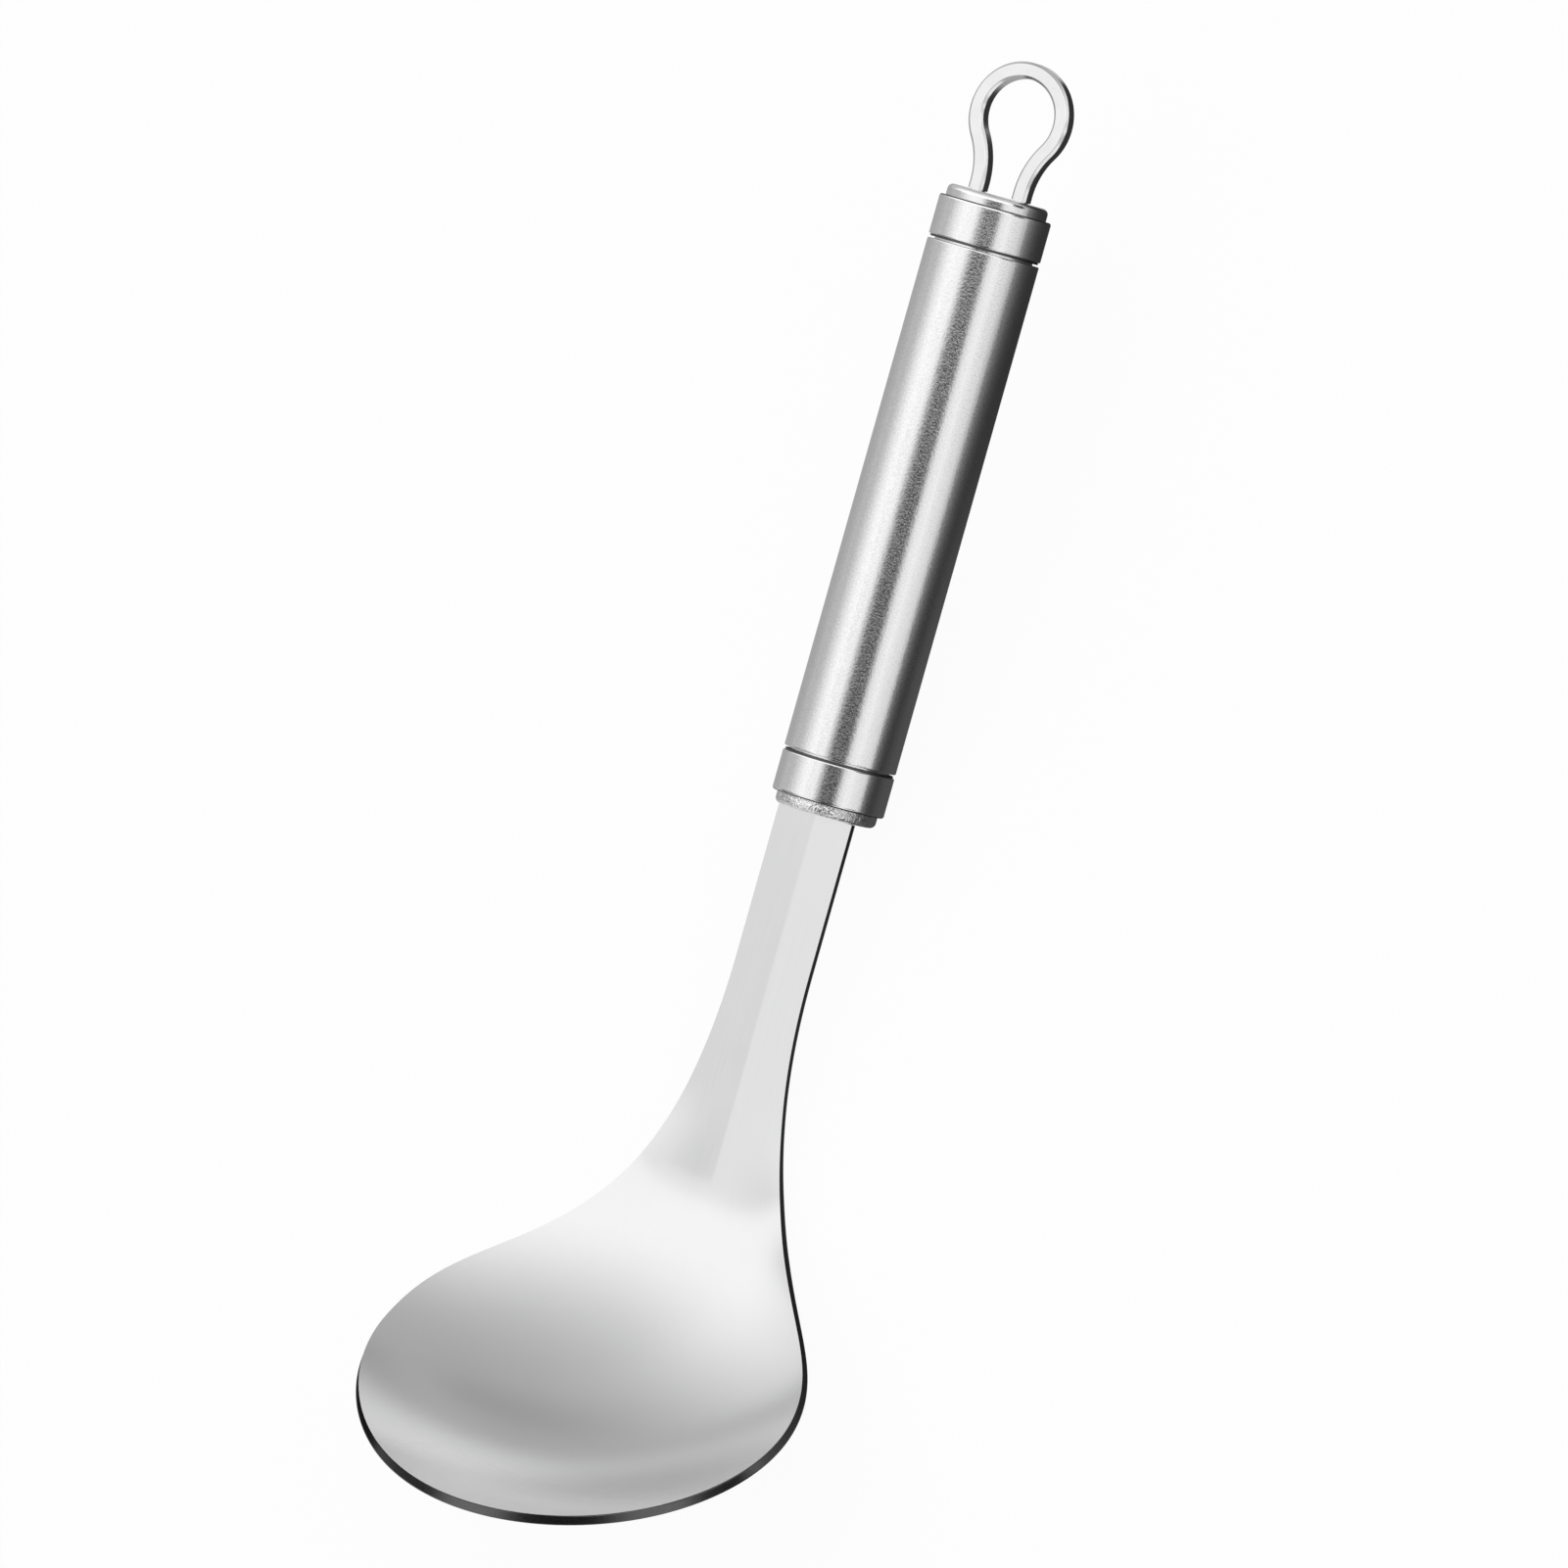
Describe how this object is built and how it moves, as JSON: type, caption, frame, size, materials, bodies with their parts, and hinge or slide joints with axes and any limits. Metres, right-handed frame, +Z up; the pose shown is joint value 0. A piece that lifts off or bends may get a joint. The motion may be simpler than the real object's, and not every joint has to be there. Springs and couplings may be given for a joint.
{
  "type": "meatball scoop",
  "caption": "Steel scoop with a deep oval bowl on a flat creased shank, a round satin tube handle with ringed ends, and a wire loop to hang it by.",
  "frame": {"origin": "on the table, below the middle of the tool's length, with the tool lying at rest on its front collar and the back of its bowl", "axes": "+Z up, +Y towards the hanging loop, -Y towards the bowl, X across the tool"},
  "size_m": [0.0722, 0.2428, 0.0445],
  "materials": {
    "polished_steel": "polished stainless sheet",
    "satin_steel": "satin brushed along the handle",
    "plug_steel": "smooth turned steel",
    "wire_steel": "bright drawn wire",
    "core_plastic": "dark moulding, hidden in the tube"
  },
  "bodies": {
    "root": {"spoon_blade": "polished_steel", "handle_tube": "satin_steel", "front_collar": "satin_steel", "front_plug": "plug_steel", "rear_collar": "satin_steel", "rear_plug": "plug_steel", "hanging_loop": "wire_steel", "tang_core": "core_plastic"}
  },
  "joints": []
}
